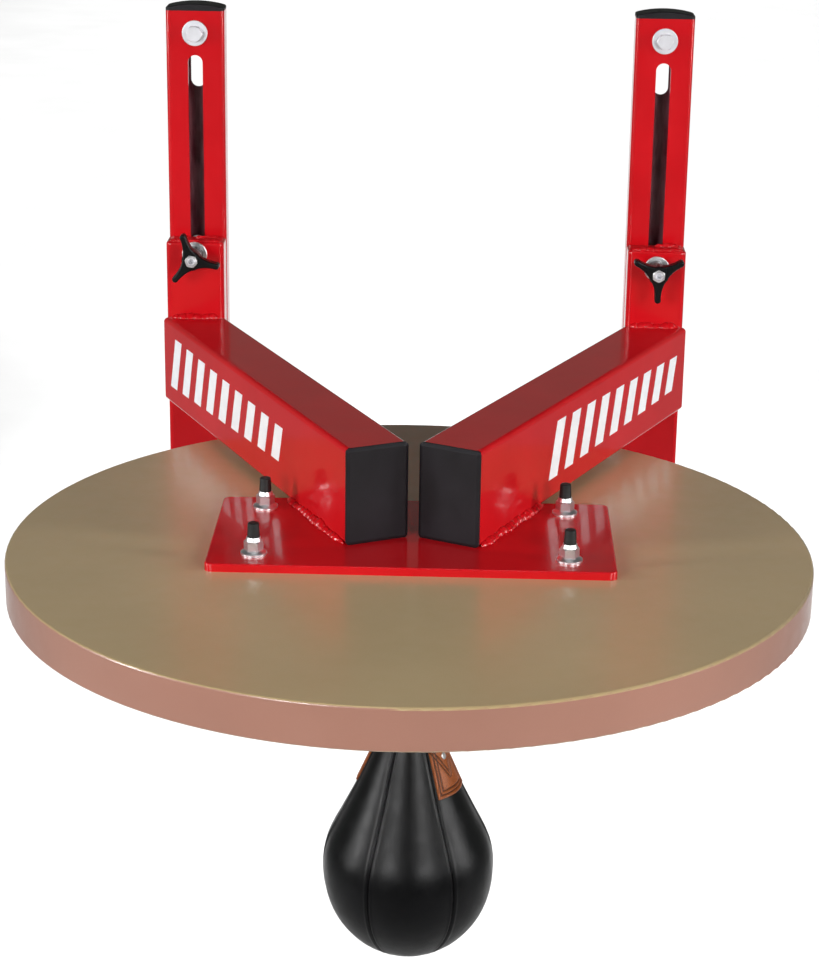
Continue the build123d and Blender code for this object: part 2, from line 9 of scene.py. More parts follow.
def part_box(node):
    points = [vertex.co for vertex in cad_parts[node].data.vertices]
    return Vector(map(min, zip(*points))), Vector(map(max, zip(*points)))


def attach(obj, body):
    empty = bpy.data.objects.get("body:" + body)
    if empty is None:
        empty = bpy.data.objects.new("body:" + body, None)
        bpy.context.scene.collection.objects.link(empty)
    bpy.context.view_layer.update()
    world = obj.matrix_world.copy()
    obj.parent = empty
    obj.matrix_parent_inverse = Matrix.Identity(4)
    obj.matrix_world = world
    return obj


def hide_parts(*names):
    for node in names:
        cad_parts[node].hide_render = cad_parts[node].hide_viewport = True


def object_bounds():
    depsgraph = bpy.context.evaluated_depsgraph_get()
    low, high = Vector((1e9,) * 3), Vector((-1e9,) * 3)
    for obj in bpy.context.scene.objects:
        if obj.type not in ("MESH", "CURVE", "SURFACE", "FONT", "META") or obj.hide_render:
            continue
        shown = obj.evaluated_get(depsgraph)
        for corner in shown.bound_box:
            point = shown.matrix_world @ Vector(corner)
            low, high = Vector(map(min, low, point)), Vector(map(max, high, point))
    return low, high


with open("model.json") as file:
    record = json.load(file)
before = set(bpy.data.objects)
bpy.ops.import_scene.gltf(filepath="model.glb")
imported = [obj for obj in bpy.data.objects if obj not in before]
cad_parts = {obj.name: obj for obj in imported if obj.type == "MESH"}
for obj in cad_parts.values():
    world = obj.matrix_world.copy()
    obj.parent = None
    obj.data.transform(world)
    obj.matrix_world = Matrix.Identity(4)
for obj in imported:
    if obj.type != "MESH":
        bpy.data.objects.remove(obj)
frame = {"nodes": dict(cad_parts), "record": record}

cad_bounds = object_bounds()

# All lengths in metres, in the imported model's frame: +Z up, +Y into the wall, +X to the right.
SIDES = ("left", "right")
SIDE_SIGN = {"left": -1, "right": 1}

TUBE_WALL = 0.0024

# Bag
BAG_PANELS = 6
BAG_TILT = math.radians(3.5)
SEAM_WIDTH = 0.0008
SEAM_DEPTH = 0.0014
PANEL_BULGE = 0.012
PANEL_SINK = 0.004
STRAP_THICKNESS = 0.0028

# Leather patches on the bag
PATCH_HALF_ANGLE = math.radians(28)
PATCH_THICKNESS = 0.0016
PATCH_ROLL = 0.0016
SKIN_GAP = 0.0001
LINE_WIDTH = 0.00065
LINE_DEPTH = 0.00090
BORDER_LINES = (0.0028, 0.0054)
V_TIP = 0.0165
V_LOWEST = 0.012
V_SPACING = 0.0028

# Weld beads
BEAD_LEG = 0.0050
BEAD_PITCH = 0.0068
BEAD_SINK = 0.0006
BEAD_STEP = 0.0006
BEAD_INSET = 0.004
TOP_BEAD_RADIUS = 0.0024

# Lag screw threads
LAG_SPACING = 0.4064
THREAD_ROOT = 0.0037
THREAD_CREST = 0.0043
THREAD_PITCH = 0.0026
THREAD_HALF_WIDTH = 0.00075
THREAD_TIP = 0.008
THREAD_STEPS = 28

# Stripes on the arms
STRIPE_COUNT = 9
STRIPE_FIRST = 0.130
STRIPE_WIDTH = 0.0160
STRIPE_GAP = 0.0140
STRIPE_SLANT = 0.30
STRIPE_TALL = 0.046
STRIPE_SHORT = 0.030
STRIPE_LIFT = 0.00002
STRIPE_FILM = 0.00018
STRIPE_RAISE = 0.002

# Camera, from the middle of the arms' plate on the drum's top face
CAMERA_OFFSET = Vector((0.0367, -1.7257, 0.6342))
CAMERA_ANGLES = (-1.33, 18.73, 0.81)
CAMERA_LENS = 90.09

# Stage
FLOOR_DROP = 1.0
FLOOR_HALF = 26.0
WASH_LIFT = 0.6
KEY_SPREAD = math.radians(70)

nodes = frame["nodes"]


# ---- Materials -----------------------------------------------------------------------------

def new_material(name):
    """A Principled material with its node tree, its shader and the object coordinates."""
    material = bpy.data.materials.new(name)
    material.use_nodes = True
    tree = material.node_tree
    shader = tree.nodes["Principled BSDF"]
    where = tree.nodes.new("ShaderNodeTexCoord").outputs["Object"]
    return material, tree, shader, where


def stretched(tree, where, scale):
    """The coordinates scaled by a different amount along each axis."""
    mapping = tree.nodes.new("ShaderNodeMapping")
    mapping.inputs["Scale"].default_value = scale
    tree.links.new(where, mapping.inputs["Vector"])
    return mapping.outputs["Vector"]


def noise(tree, where, scale, detail=2.0, roughness=0.5):
    """Soft cloudy noise, its features about 1 / scale metres across."""
    node = tree.nodes.new("ShaderNodeTexNoise")
    node.inputs["Scale"].default_value = scale
    node.inputs["Detail"].default_value = detail
    node.inputs["Roughness"].default_value = roughness
    tree.links.new(where, node.inputs["Vector"])
    return node.outputs["Fac"]


def cells(tree, where, scale):
    """The distance to the edge of each cell, such as the pebbles of a leather's grain."""
    node = tree.nodes.new("ShaderNodeTexVoronoi")
    node.feature = "DISTANCE_TO_EDGE"
    node.inputs["Scale"].default_value = scale
    tree.links.new(where, node.inputs["Vector"])
    return node.outputs["Distance"]


def remap(tree, value, low, high, start=0.3, end=0.7):
    """A value between start and end, turned into one between low and high."""
    node = tree.nodes.new("ShaderNodeMapRange")
    node.inputs["From Min"].default_value = start
    node.inputs["From Max"].default_value = end
    node.inputs["To Min"].default_value = low
    node.inputs["To Max"].default_value = high
    tree.links.new(value, node.inputs["Value"])
    return node.outputs["Result"]


def blend_colours(tree, factor, first, second):
    """First where the factor is 0 and second where it is 1; each a colour or an output."""
    node = tree.nodes.new("ShaderNodeMix")
    node.data_type = "RGBA"
    tree.links.new(factor, node.inputs["Factor"])
    for socket, colour in ((node.inputs[6], first), (node.inputs[7], second)):
        if isinstance(colour, tuple):
            socket.default_value = (*colour, 1.0)
        else:
            tree.links.new(colour, socket)
    return node.outputs[2]


def add_bump(tree, shader, height, strength, distance):
    """Adds a relief to the shader's normal, on top of any it has."""
    node = tree.nodes.new("ShaderNodeBump")
    node.inputs["Strength"].default_value = strength
    node.inputs["Distance"].default_value = distance
    tree.links.new(height, node.inputs["Height"])
    if shader.inputs["Normal"].links:
        tree.links.new(shader.inputs["Normal"].links[0].from_socket, node.inputs["Normal"])
    tree.links.new(node.outputs["Normal"], shader.inputs["Normal"])


def math_node(tree, operation, first, second):
    """A two-input Math node; each input a number or an output."""
    node = tree.nodes.new("ShaderNodeMath")
    node.operation = operation
    for socket, value in ((node.inputs[0], first), (node.inputs[1], second)):
        if isinstance(value, (int, float)):
            socket.default_value = value
        else:
            tree.links.new(value, socket)
    return node.outputs["Value"]


def inside_tubes(tree, where):
    """1 inside the two uprights' walls, where shade is painted, and 0 on their outside."""
    low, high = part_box("right_upright")
    place = tree.nodes.new("ShaderNodeSeparateXYZ")
    tree.links.new(where, place.inputs["Vector"])
    middle_x = (low.x + high.x) / 2
    middle_y = (low.y + high.y) / 2
    across = math_node(tree, "ABSOLUTE", place.outputs["X"], 0)
    across = math_node(tree, "ABSOLUTE", math_node(tree, "SUBTRACT", across, middle_x), 0)
    deep = math_node(tree, "ABSOLUTE", math_node(tree, "SUBTRACT", place.outputs["Y"], middle_y), 0)
    skip = 0.8 * TUBE_WALL
    within_x = math_node(tree, "LESS_THAN", across, (high.x - low.x) / 2 - skip)
    within_y = math_node(tree, "LESS_THAN", deep, (high.y - low.y) / 2 - skip)
    return math_node(tree, "MULTIPLY", within_x, within_y)


def red_powder_coat(name, painted_shade_inside=False):
    """Gloss red powder coat with a faint orange peel, optionally with shade painted dark, with
    lighter streaks, inside the uprights.
    """
    material, tree, shader, where = new_material(name)
    tone = remap(tree, noise(tree, where, 14, 3), 0, 1)
    colour = blend_colours(tree, tone, (0.50, 0.003, 0.007), (0.58, 0.005, 0.010))
    gloss = remap(tree, noise(tree, where, 55, 4), 0.16, 0.26)
    # Painted shade: inside the uprights' walls the red is darkened to a dim pinkish grey with
    # lighter vertical streaks, standing for the shade in the hollow tube.
    if painted_shade_inside:
        inside = inside_tubes(tree, where)
        shade_streaks = remap(tree, noise(tree, stretched(tree, where, (1, 1, 0.15)), 220, 4), 0, 1)
        painted_inside_shade = blend_colours(tree, shade_streaks, (0.160, 0.034, 0.048), (0.360, 0.150, 0.180))
        colour = blend_colours(tree, inside, colour, painted_inside_shade)
    tree.links.new(colour, shader.inputs["Base Color"])
    tree.links.new(gloss, shader.inputs["Roughness"])
    shader.inputs["Specular IOR Level"].default_value = 0.25
    shader.inputs["Coat Weight"].default_value = 0.42
    shader.inputs["Coat Roughness"].default_value = 0.035
    add_bump(tree, shader, noise(tree, where, 160, 1), 0.05, 0.0015)
    add_bump(tree, shader, noise(tree, where, 900, 2), 0.05, 0.0003)
    return material


def drum_board():
    """Sealed fibreboard: a smooth olive tan face and a warmer, more open sawn edge."""
    material, tree, shader, where = new_material("drum_board")
    normal = tree.nodes.new("ShaderNodeTexCoord").outputs["Normal"]
    parts = tree.nodes.new("ShaderNodeSeparateXYZ")
    tree.links.new(normal, parts.inputs["Vector"])
    upward = math_node(tree, "ABSOLUTE", parts.outputs["Z"], 0)
    face = remap(tree, upward, 0, 1, 0.35, 0.8)
    shader.inputs["Sheen Weight"].default_value = 0.10
    shader.inputs["Sheen Roughness"].default_value = 0.45
    shader.inputs["Sheen Tint"].default_value = (1.0, 0.80, 0.70, 1.0)
    clouds = remap(tree, noise(tree, where, 7, 4), 0, 1)
    strands = noise(tree, stretched(tree, where, (1, 1, 3)), 900, 5, 0.7)
    fibres = remap(tree, strands, 0, 1, 0.25, 0.75)
    top = blend_colours(tree, clouds, (0.520, 0.392, 0.196), (0.590, 0.442, 0.226))
    top = blend_colours(tree, remap(tree, fibres, 0, 0.22, 0, 1), top, (0.36, 0.24, 0.12))
    edge = blend_colours(tree, clouds, (0.35, 0.165, 0.120), (0.41, 0.195, 0.142))
    edge = blend_colours(tree, remap(tree, fibres, 0, 0.35, 0, 1), edge, (0.33, 0.150, 0.09))
    tree.links.new(blend_colours(tree, face, edge, top), shader.inputs["Base Color"])
    gloss = remap(tree, noise(tree, where, 60, 4), 0.30, 0.42)
    tree.links.new(gloss, shader.inputs["Roughness"])
    shader.inputs["Coat Weight"].default_value = 1.0
    shader.inputs["Coat Roughness"].default_value = 0.22
    add_bump(tree, shader, fibres, 0.10, 0.0003)
    add_bump(tree, shader, noise(tree, where, 120, 3), 0.04, 0.0010)
    return material


def moulded_plastic(name, colour, low, high, grain, specular):
    """Black moulded plastic: a fine spark-eroded grain and faint rub marks."""
    material, tree, shader, where = new_material(name)
    shader.inputs["Specular IOR Level"].default_value = specular
    tone = remap(tree, noise(tree, where, 40, 4), 0, 1)
    lighter = tuple(1.5 * channel for channel in colour)
    tree.links.new(blend_colours(tree, tone, colour, lighter), shader.inputs["Base Color"])
    rubs = noise(tree, stretched(tree, where, (1, 1, 0.25)), 130, 5)
    tree.links.new(remap(tree, rubs, low, high), shader.inputs["Roughness"])
    add_bump(tree, shader, noise(tree, where, 1900, 2), grain, 0.0002)
    return material


def plated_steel(name, colour, low, high, brush):
    """Plated or machined steel with cloudy gloss and fine marks along one way."""
    material, tree, shader, where = new_material(name)
    shader.inputs["Metallic"].default_value = 1.0
    tone = remap(tree, noise(tree, where, 90, 4), 0, 1)
    darker = tuple(0.86 * channel for channel in colour)
    tree.links.new(blend_colours(tree, tone, darker, colour), shader.inputs["Base Color"])
    marks = noise(tree, stretched(tree, where, (1, 1, 12)), 700, 4, 0.6)
    tree.links.new(remap(tree, marks, low, high), shader.inputs["Roughness"])
    add_bump(tree, shader, marks, brush, 0.0001)
    return material


def leather(name, dark, light, low, high, grain_scale, grain, specular):
    """Leather: pebbled grain, soft creases, cloudy dye and darker tooled lines."""
    material, tree, shader, where = new_material(name)
    dye = remap(tree, noise(tree, where, 45, 5, 0.6), 0, 1)
    pebbles = remap(tree, cells(tree, where, grain_scale), 0, 1, 0.0, 0.22)
    colour = blend_colours(tree, dye, dark, light)
    colour = blend_colours(tree, pebbles, tuple(0.6 * channel for channel in dark), colour)
    tooling = tree.nodes.new("ShaderNodeAttribute")
    tooling.attribute_name = "tooling"
    burnt = tuple(0.18 * channel for channel in dark)
    colour = blend_colours(tree, tooling.outputs["Fac"], colour, burnt)
    tree.links.new(colour, shader.inputs["Base Color"])
    tree.links.new(remap(tree, noise(tree, where, 85, 4), low, high), shader.inputs["Roughness"])
    shader.inputs["Specular IOR Level"].default_value = specular
    add_bump(tree, shader, noise(tree, where, 75, 4), 0.10, 0.0020)
    add_bump(tree, shader, pebbles, grain, 0.00025)
    return material


def white_vinyl():
    """Cut vinyl film, faintly dimpled by the paint under it."""
    material, tree, shader, where = new_material("white_vinyl")
    tone = remap(tree, noise(tree, where, 60, 4), 0, 1)
    colour = blend_colours(tree, tone, (0.88, 0.88, 0.92), (0.95, 0.95, 0.98))
    tree.links.new(colour, shader.inputs["Base Color"])
    tree.links.new(remap(tree, noise(tree, where, 200, 3), 0.28, 0.42), shader.inputs["Roughness"])
    add_bump(tree, shader, noise(tree, where, 900, 2), 0.06, 0.0003)
    return material


def latex():
    """The bladder's matt rubber."""
    material, tree, shader, where = new_material("bladder_rubber")
    tone = remap(tree, noise(tree, where, 60, 4), 0, 1)
    colour = blend_colours(tree, tone, (0.10, 0.08, 0.06), (0.14, 0.11, 0.08))
    tree.links.new(colour, shader.inputs["Base Color"])
    tree.links.new(remap(tree, noise(tree, where, 300, 2), 0.5, 0.7), shader.inputs["Roughness"])
    add_bump(tree, shader, noise(tree, where, 700, 3), 0.2, 0.0002)
    return material


materials = {
    "red_powder_coat": red_powder_coat("red_powder_coat"),
    # The uprights' coat: the same red, with shade painted dark inside their walls.
    "red_coat_shaded_inside": red_powder_coat("red_coat_shaded_inside", painted_shade_inside=True),
    "drum_board": drum_board(),
    "black_cap_plastic": moulded_plastic(
        "black_cap_plastic", (0.010, 0.009, 0.011), 0.36, 0.52, 0.22, 0.20),
    "knob_plastic": moulded_plastic(
        "knob_plastic", (0.0025, 0.0030, 0.0034), 0.24, 0.36, 0.08, 0.24),
    "soft_black_plastic": moulded_plastic(
        "soft_black_plastic", (0.006, 0.007, 0.007), 0.42, 0.60, 0.15, 0.35),
    "zinc_hardware": plated_steel("zinc_hardware", (0.78, 0.78, 0.82), 0.42, 0.56, 0.10),
    "bright_hardware": plated_steel("bright_hardware", (0.86, 0.86, 0.88), 0.32, 0.42, 0.05),
    "swivel_steel": plated_steel("swivel_steel", (0.42, 0.42, 0.44), 0.28, 0.42, 0.15),
    "brass_cage": plated_steel("brass_cage", (0.78, 0.55, 0.22), 0.20, 0.32, 0.08),
    "black_leather": leather(
        "black_leather", (0.0007, 0.0007, 0.0011), (0.0018, 0.0018, 0.0028),
        0.30, 0.40, 950, 0.12, 0.21),
    "tan_leather": leather(
        "tan_leather", (0.25, 0.055, 0.009), (0.42, 0.120, 0.022),
        0.32, 0.46, 1100, 0.22, 0.32),
    "bladder_rubber": latex(),
    "white_vinyl": white_vinyl(),
}


def dress_cad_nodes():
    """Gives every CAD node the material of its slot in the record."""
    for part in frame["record"]["subparts"]:
        node = nodes[part["node"]]
        node.data.materials.clear()
        node.data.materials.append(materials[part["material_slot"]])
    for side in SIDES:
        # The uprights get the red coat with painted shade inside their walls.
        nodes[f"{side}_upright"].data.materials[0] = materials["red_coat_shaded_inside"]


# ---- Mesh helpers --------------------------------------------------------------------------

def make_piece(name, points, faces, material, body):
    """A smooth-shaded mesh piece that rides on a body."""
    mesh = bpy.data.meshes.new(name)
    mesh.from_pydata([tuple(point) for point in points], [], faces)
    mesh.validate()
    mesh.polygons.foreach_set("use_smooth", [True] * len(mesh.polygons))
    mesh.materials.append(materials[material])
    piece = bpy.data.objects.new(name, mesh)
    bpy.context.scene.collection.objects.link(piece)
    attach(piece, body)
    return piece


def skin(rings):
    """Points and faces of a tube through rings of equal length, its two ends closed."""
    count = len(rings[0])
    points = [point for ring in rings for point in ring]
    faces = []
    for row in range(len(rings) - 1):
        for column in range(count):
            following = (column + 1) % count
            first = row * count
            second = first + count
            faces.append((first + column, first + following, second + following, second + column))
    faces.append(tuple(reversed(range(count))))
    faces.append(tuple(range(len(points) - count, len(points))))
    return points, faces


def joined(parts):
    """Several (points, faces) lists as one."""
    points, faces = [], []
    for part_points, part_faces in parts:
        shift = len(points)
        points += list(part_points)
        faces += [tuple(index + shift for index in face) for face in part_faces]
    return points, faces


# ---- Bag -----------------------------------------------------------------------------------

bag_low, bag_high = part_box("bag_cover")
bag_axis = Vector(((bag_low.x + bag_high.x) / 2, (bag_low.y + bag_high.y) / 2, 0))
bag_middle = Vector((bag_axis.x, bag_axis.y, (bag_low.z + bag_high.z) / 2))


def outer_profile(node, centre):
    """Radius and height along a turned node's outer skin, from its top to its bottom."""
    mesh = nodes[node].data
    found = {}
    for face in mesh.polygons:
        if face.normal.dot(face.center - centre) <= 0:
            continue
        for index in face.vertices:
            point = mesh.vertices[index].co
            radius = math.hypot(point.x - centre.x, point.y - centre.y)
            key = round(point.z, 4)
            found[key] = max(found.get(key, 0.0), radius)
    return [(found[height], height) for height in sorted(found, reverse=True)]


def evenly(profile, count):
    """The profile again as this many points, evenly spaced along a smooth curve."""
    dense = []
    steps = 12
    last = len(profile) - 1
    for i in range(last):
        p0, p1, p2, p3 = (profile[min(max(i + k, 0), last)] for k in (-1, 0, 1, 2))
        for step in range(steps):
            t = step / steps
            dense.append(tuple(
                0.5 * (2 * b + (c - a) * t + (2 * a - 5 * b + 4 * c - d) * t * t
                       + (3 * b - a - 3 * c + d) * t ** 3)
                for a, b, c, d in zip(p0, p1, p2, p3)
            ))
    dense.append(profile[-1])
    along = [0.0]
    for (r0, z0), (r1, z1) in zip(dense, dense[1:]):
        along.append(along[-1] + math.hypot(r1 - r0, z1 - z0))
    result, k = [], 0
    for i in range(count):
        target = along[-1] * i / (count - 1)
        while k < len(along) - 2 and along[k + 1] < target:
            k += 1
        span = along[k + 1] - along[k] or 1.0
        t = (target - along[k]) / span
        result.append(tuple(a + (b - a) * t for a, b in zip(dense[k], dense[k + 1])))
    return result


bag_profile = evenly(outer_profile("bag_cover", bag_middle), 140)


def bag_radius_at(height):
    """The bag's radius at a height, on its even profile."""
    for (r0, z0), (r1, z1) in zip(bag_profile, bag_profile[1:]):
        if z1 <= height <= z0:
            return r0 + (r1 - r0) * (z0 - height) / max(z0 - z1, 1e-9)
    return bag_profile[0][0]


def round_the_bag(angle, radius, height):
    """A point round the bag's axis; the angle is from the front, positive to the right."""
    return Vector((
        bag_axis.x + radius * math.sin(angle),
        bag_axis.y - radius * math.cos(angle),
        height,
    ))


def from_seam(angle):
    """The angle to the nearest seam, signed."""
    panel = 2 * math.pi / BAG_PANELS
    return (angle - BAG_TILT) % panel - panel / 2


def panel_radius(angle, radius):
    """The radius of puffed panels, with a sewn groove on each seam and a ridge beside it."""
    panel = 2 * math.pi / BAG_PANELS
    off_seam = abs(from_seam(angle)) / (panel / 2)
    puff = 1 - PANEL_SINK + (PANEL_SINK + PANEL_BULGE) * math.sin(math.pi / 2 * off_seam)
    away = abs(from_seam(angle)) * radius
    depth = min(SEAM_DEPTH, 0.12 * radius)
    groove = depth * math.exp(-((away / SEAM_WIDTH) ** 2))
    ridge = 0.35 * depth * math.exp(-(((away - 2.6 * SEAM_WIDTH) / SEAM_WIDTH) ** 2))
    return radius * puff - groove + ridge


def bag_angles(count_per_panel):
    """Angles round the bag, packed closer near each seam."""
    panel = 2 * math.pi / BAG_PANELS
    angles = []
    for number in range(BAG_PANELS):
        for step in range(count_per_panel):
            t = 2 * step / count_per_panel - 1
            eased = math.copysign(1 - (1 - abs(t)) ** 1.6, t)
            angles.append(BAG_TILT + panel * number + eased * panel / 2)
    return angles


def bag_cover():
    """The leather teardrop, sewn from panels."""
    angles = bag_angles(44)
    rings = []
    for radius, height in bag_profile[:-1]:
        ring = [round_the_bag(a, max(panel_radius(a, radius), 0.0004), height) for a in angles]
        rings.append(list(reversed(ring)))
    points, faces = skin(rings)
    piece = make_piece("bag_leather", points, faces, "black_leather", "bag")
    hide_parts("bag_cover")


def engraved(distances):
    """How deep the tooled lines are, from the distances to them."""
    return LINE_DEPTH * max(math.exp(-((d / LINE_WIDTH) ** 2)) for d in distances)


def patch_relief(side_gap, low_gap, across, up):
    """The depth tooled into a patch: two border lines and a nested pair of V lines."""
    border = min(side_gap, low_gap)
    lines = [border - line for line in BORDER_LINES]
    if up > V_LOWEST:
        v_shape = abs(across) * 0.9 + (up - V_TIP) * -0.45
        lines += [v_shape, v_shape - V_SPACING]
    return engraved(lines)


def bag_patch(middle, number):
    """A tan leather tab on one panel, its edges rolled and its face tooled."""
    low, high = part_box("bag_patches")
    columns, rows = 150, 190
    faces, outer, inner, burnish = [], [], [], []
    for row in range(rows + 1):
        height = high.z + (low.z - high.z) * row / rows
        radius = bag_radius_at(height)
        half = PATCH_HALF_ANGLE * radius
        for column in range(columns + 1):
            t = 2 * column / columns - 1
            angle = middle + PATCH_HALF_ANGLE * t
            base = panel_radius(angle, radius) + SKIN_GAP
            side_gap = half * (1 - abs(t))
            low_gap = height - low.z
            edge = min(side_gap, low_gap, PATCH_ROLL) / PATCH_ROLL
            thick = PATCH_THICKNESS * (0.35 + 0.65 * math.sqrt(edge * (2 - edge)))
            depth = patch_relief(side_gap, low_gap, half * t, low_gap)
            outer.append(round_the_bag(angle, base + thick - depth, height))
            burnish.append(depth / LINE_DEPTH)
            inner.append(round_the_bag(angle, base, height))
    width = columns + 1
    count = len(outer)
    for row in range(rows):
        for column in range(columns):
            a = row * width + column
            faces.append((a, a + width, a + width + 1, a + 1))
            faces.append((count + a, count + a + 1, count + a + width + 1, count + a + width))
    rim = [(0, c) for c in range(columns)] + [(r, columns) for r in range(rows)]
    rim += [(rows, c) for c in range(columns, 0, -1)] + [(r, 0) for r in range(rows, 0, -1)]
    loop = [r * width + c for r, c in rim]
    for first, second in zip(loop, loop[1:] + loop[:1]):
        faces.append((first, second, count + second, count + first))
    points = outer + inner
    piece = make_piece(f"bag_patch_{number}", points, faces, "tan_leather", "bag")
    tooling = piece.data.attributes.new("tooling", "FLOAT", "POINT")
    tooling.data.foreach_set("value", burnish + [0.0] * len(inner))
    return piece


def bag_patches():
    """Both tabs, on opposite panels."""
    first = BAG_TILT + 2 * math.pi / BAG_PANELS
    pieces = [bag_patch(first + math.pi * number, number + 1) for number in range(2)]
    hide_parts("bag_patches")


def band(path, normals, width, thick):
    """A strap of rounded section along a path; the width runs along the Y axis."""
    rings = []
    corners = 16
    for point, normal in zip(path, normals):
        ring = []
        for k in range(corners):
            turn = 2 * math.pi * k / corners
            x, y = math.cos(turn), math.sin(turn)
            across = math.copysign(abs(x) ** 0.35, x) * width / 2
            out = math.copysign(abs(y) ** 0.6, y) * thick / 2
            ring.append(point + normal * out + Vector((0, across, 0)))
        rings.append(ring)
    return skin(rings)


def bag_loop():
    """The strap that hangs on the hook: up from the collar, over and down again."""
    low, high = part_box("bag_loop")
    middle = (low + high) / 2
    thick = STRAP_THICKNESS
    reach = (high.x - low.x) / 2 - thick / 2
    top = high.z - thick / 2 - reach
    path, normals = [], []
    for step in range(9):
        path.append(Vector((middle.x + reach, middle.y, low.z + (top - low.z) * step / 9)))
        normals.append(Vector((1, 0, 0)))
    for step in range(25):
        turn = math.pi * step / 24
        out = Vector((math.cos(turn), 0, math.sin(turn)))
        path.append(Vector((middle.x, middle.y, top)) + out * reach)
        normals.append(out)
    for step in range(8, -1, -1):
        path.append(Vector((middle.x - reach, middle.y, low.z + (top - low.z) * step / 9)))
        normals.append(Vector((-1, 0, 0)))
    points, faces = band(path, normals, high.y - low.y, thick)
    piece = make_piece("hanging_strap", points, faces, "tan_leather", "bag")
    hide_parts("bag_loop")


def bag_collar():
    """The leather washer on the bag's neck, its rim rounded and a line tooled on it."""
    low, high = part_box("bag_collar")
    centre = (low + high) / 2
    radius = (high.x - low.x) / 2
    half = (high.z - low.z) / 2
    profile = [(0.0004, half), (radius * 0.45, half), (radius * 0.70, half)]
    profile += [(radius * 0.76, half - 0.0005), (radius * 0.82, half)]
    for step in range(9):
        turn = math.pi / 2 - math.pi * step / 8
        profile.append((radius - half * 0.7 + half * 0.7 * math.cos(turn), half * math.sin(turn)))
    profile.append((0.0004, -half))
    rings = []
    for ring_radius, lift in profile:
        ring = []
        for step in range(64):
            turn = -2 * math.pi * step / 64
            out = Vector((math.cos(turn), math.sin(turn), 0))
            ring.append(centre + out * ring_radius + Vector((0, 0, lift)))
        rings.append(ring)
    points, faces = skin(rings)
    piece = make_piece("neck_collar", points, faces, "tan_leather", "bag")
    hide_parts("bag_collar")


# ---- Welds, stripes and threads ------------------------------------------------------------

def arm_middle_x(side):
    """The middle of an arm's box along X."""
    low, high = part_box(f"{side}_arm")
    return (low.x + high.x) / 2


def arm_side(side, outside):
    """An arm's outer or inner face: its lower front corner, its way back and its normal."""
    mesh = nodes[f"{side}_arm"].data
    facing = SIDE_SIGN[side] * (1 if outside else -1)
    middle_x = arm_middle_x(side)

    def sideways(face):
        return face.normal.x * facing > 0.5 and abs(face.normal.z) < 0.01

    def weight(face):
        return face.area * (2 if (face.center.x - middle_x) * facing > 0 else 1)

    best = max(filter(sideways, mesh.polygons), key=weight)
    normal = best.normal.copy()
    back = Vector((-normal.y, normal.x, 0))
    if back.y < 0:
        back = -back
    shift = max(normal.dot(vertex.co) for vertex in mesh.vertices)
    front = min(back.dot(vertex.co) for vertex in mesh.vertices)
    bottom = min(vertex.co.z for vertex in mesh.vertices)
    corner = normal * shift + back * front + Vector((0, 0, bottom))
    return corner, back, normal


def bead_line(start, end, out, up, chance, leg=BEAD_LEG, sweep=math.pi / 2):
    """One weld: a row of overlapping puddles, in a corner between faces or on one face."""
    run = end - start
    length = run.length
    count = int(length / BEAD_STEP)
    puddles = int(length / BEAD_PITCH) + 2
    sizes = [chance.uniform(0.66, 1.22) for _ in range(puddles + 1)]
    leans = [chance.uniform(-0.18, 0.18) for _ in range(puddles + 1)]
    rings = []
    arc = 10
    for i in range(count + 1):
        along = i / count
        phase = along * length / BEAD_PITCH
        k = int(phase)
        t = phase - k
        swell = (1 - (2 * t - 1) ** 2) ** 0.5 if 0 < t < 1 else 0.0
        size = sizes[k] * (1 - t) + sizes[k + 1] * t
        lean = leans[k] * (1 - t) + leans[k + 1] * t
        taper = min(1.0, 6 * along + 0.35, 6 * (1 - along) + 0.35)
        radius = leg * size * (0.62 + 0.38 * swell) * taper
        centre = start + run * along
        ring = [centre - out * BEAD_SINK - up * BEAD_SINK]
        for step_arc in range(arc + 1):
            turn = sweep * step_arc / arc
            bulge = radius * (1 - 0.08 * abs(math.sin(2 * turn)))
            ring.append(centre + out * (bulge * (1 + lean) * math.cos(turn))
                        + up * (bulge * (1 - lean) * math.sin(turn)))
        rings.append(ring)
    return skin(rings)


def weld_beads(side):
    """One side's welds: arm to plate, arm to carriage, and two on top of the carriage."""
    chance = random.Random(SIDE_SIGN[side] + 5)
    plate_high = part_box("base_plate")[1]
    arm_low, arm_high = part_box(f"{side}_arm")
    post_low, post_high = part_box(f"{side}_carriage")
    parts = []
    up = Vector((0, 0, 1))
    for outside, first in ((True, 0.003), (False, 0.007)):
        corner, back, normal = arm_side(side, outside)
        start = corner + back * first
        start.z = plate_high.z
        end = start + back * ((plate_high.y - BEAD_LEG - start.y) / back.y)
        parts.append(bead_line(start, end, normal, up, chance))
    forward = Vector((0, -1, 0))
    for height, way in ((arm_high.z, up), (arm_low.z, -up)):
        start = Vector((post_low.x + BEAD_INSET, post_low.y, height))
        end = Vector((post_high.x - BEAD_INSET, post_low.y, height))
        parts.append(bead_line(start, end, forward, way, chance))
    ends_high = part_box(f"{side}_carriage_ends")[1]
    for back_from_front, first, last in ((0.0035, 0.003, 0.003), (0.0190, 0.024, 0.006)):
        level = post_low.y + back_from_front
        start = Vector((post_low.x + first, level, ends_high.z))
        end = Vector((post_high.x - last, level, ends_high.z))
        parts.append(bead_line(start, end, forward, up, chance, TOP_BEAD_RADIUS, math.pi))
    points, faces = joined(parts)
    coat = "red_powder_coat"
    piece = make_piece(f"{side}_welds", points, faces, coat, "platform")
    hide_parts(f"{side}_weld_beads")


